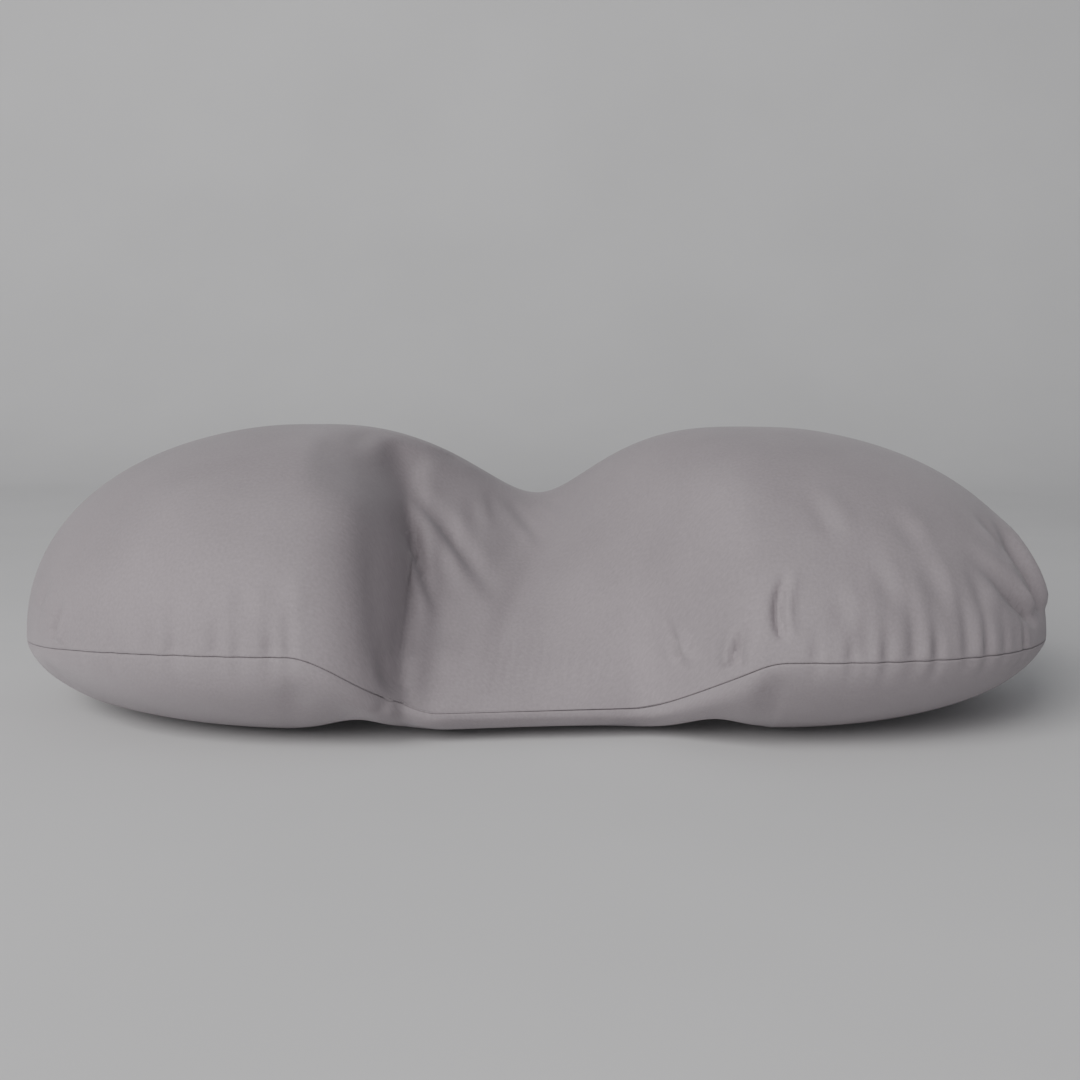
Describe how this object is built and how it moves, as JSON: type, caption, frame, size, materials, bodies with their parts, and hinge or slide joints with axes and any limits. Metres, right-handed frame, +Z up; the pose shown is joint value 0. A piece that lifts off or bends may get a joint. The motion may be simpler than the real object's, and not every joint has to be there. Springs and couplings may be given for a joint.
{
  "type": "nursing pillow",
  "caption": "Two-lobed stuffed nursing pillow with a low saddle at its waist, in a zipped knitted cover over a closed inner pillow.",
  "frame": {"origin": "centre of the bounding box's footprint, on the surface that the pillow lies on", "axes": "+X along the pillow from lobe to lobe, -Y towards the thin front edge of the waist, +Z up"},
  "size_m": [0.62, 0.3565, 0.1699],
  "materials": {
    "cover_knit": "smooth fine jersey knit, matt with a soft sheen",
    "cover_thread": "matt sewing thread",
    "zip_tape": "close woven tape",
    "topstitch_thread": "light twisted thread",
    "zip_coil": "satin nylon coil",
    "zip_metal": "satin enamel",
    "label_satin": "white satin ribbon, blank",
    "liner_cotton": "plain woven cotton",
    "liner_thread": "matt sewing thread",
    "baffle_cotton": "plain woven cotton",
    "filling": "soft hollow fibre"
  },
  "bodies": {
    "pillow": {"cover_top_panel": "cover_knit", "cover_bottom_panel": "cover_knit", "cover_seam_thread": "cover_thread", "zip_tape_upper": "zip_tape", "zip_tape_lower": "zip_tape", "zip_topstitching": "topstitch_thread", "zip_coil_upper": "zip_coil", "zip_coil_lower": "zip_coil", "zip_top_stops": "zip_metal", "zip_bottom_stop": "zip_metal", "care_label": "label_satin", "liner_top_panel": "liner_cotton", "liner_bottom_panel": "liner_cotton", "liner_seam_thread": "liner_thread", "liner_closing_stitch": "liner_thread", "baffle_left": "baffle_cotton", "baffle_right": "baffle_cotton", "fill_left": "filling", "fill_waist": "filling", "fill_right": "filling"},
    "slider": {"zip_slider": "zip_metal"},
    "pull_tab": {"zip_pull_tab": "zip_metal"}
  },
  "joints": [
    {"name": "zip_travel", "type": "hinge", "parent": "pillow", "child": "slider", "pos_m": [0.132, 0, 0.048], "axis": [0, 0, 1], "range_deg": [0, 76]},
    {"name": "tab_swing", "type": "hinge", "parent": "slider", "child": "pull_tab", "pos_m": [0.30403, 0.05756, 0.048], "axis": [0, 0, -1], "range_deg": [0, 178]}
  ]
}
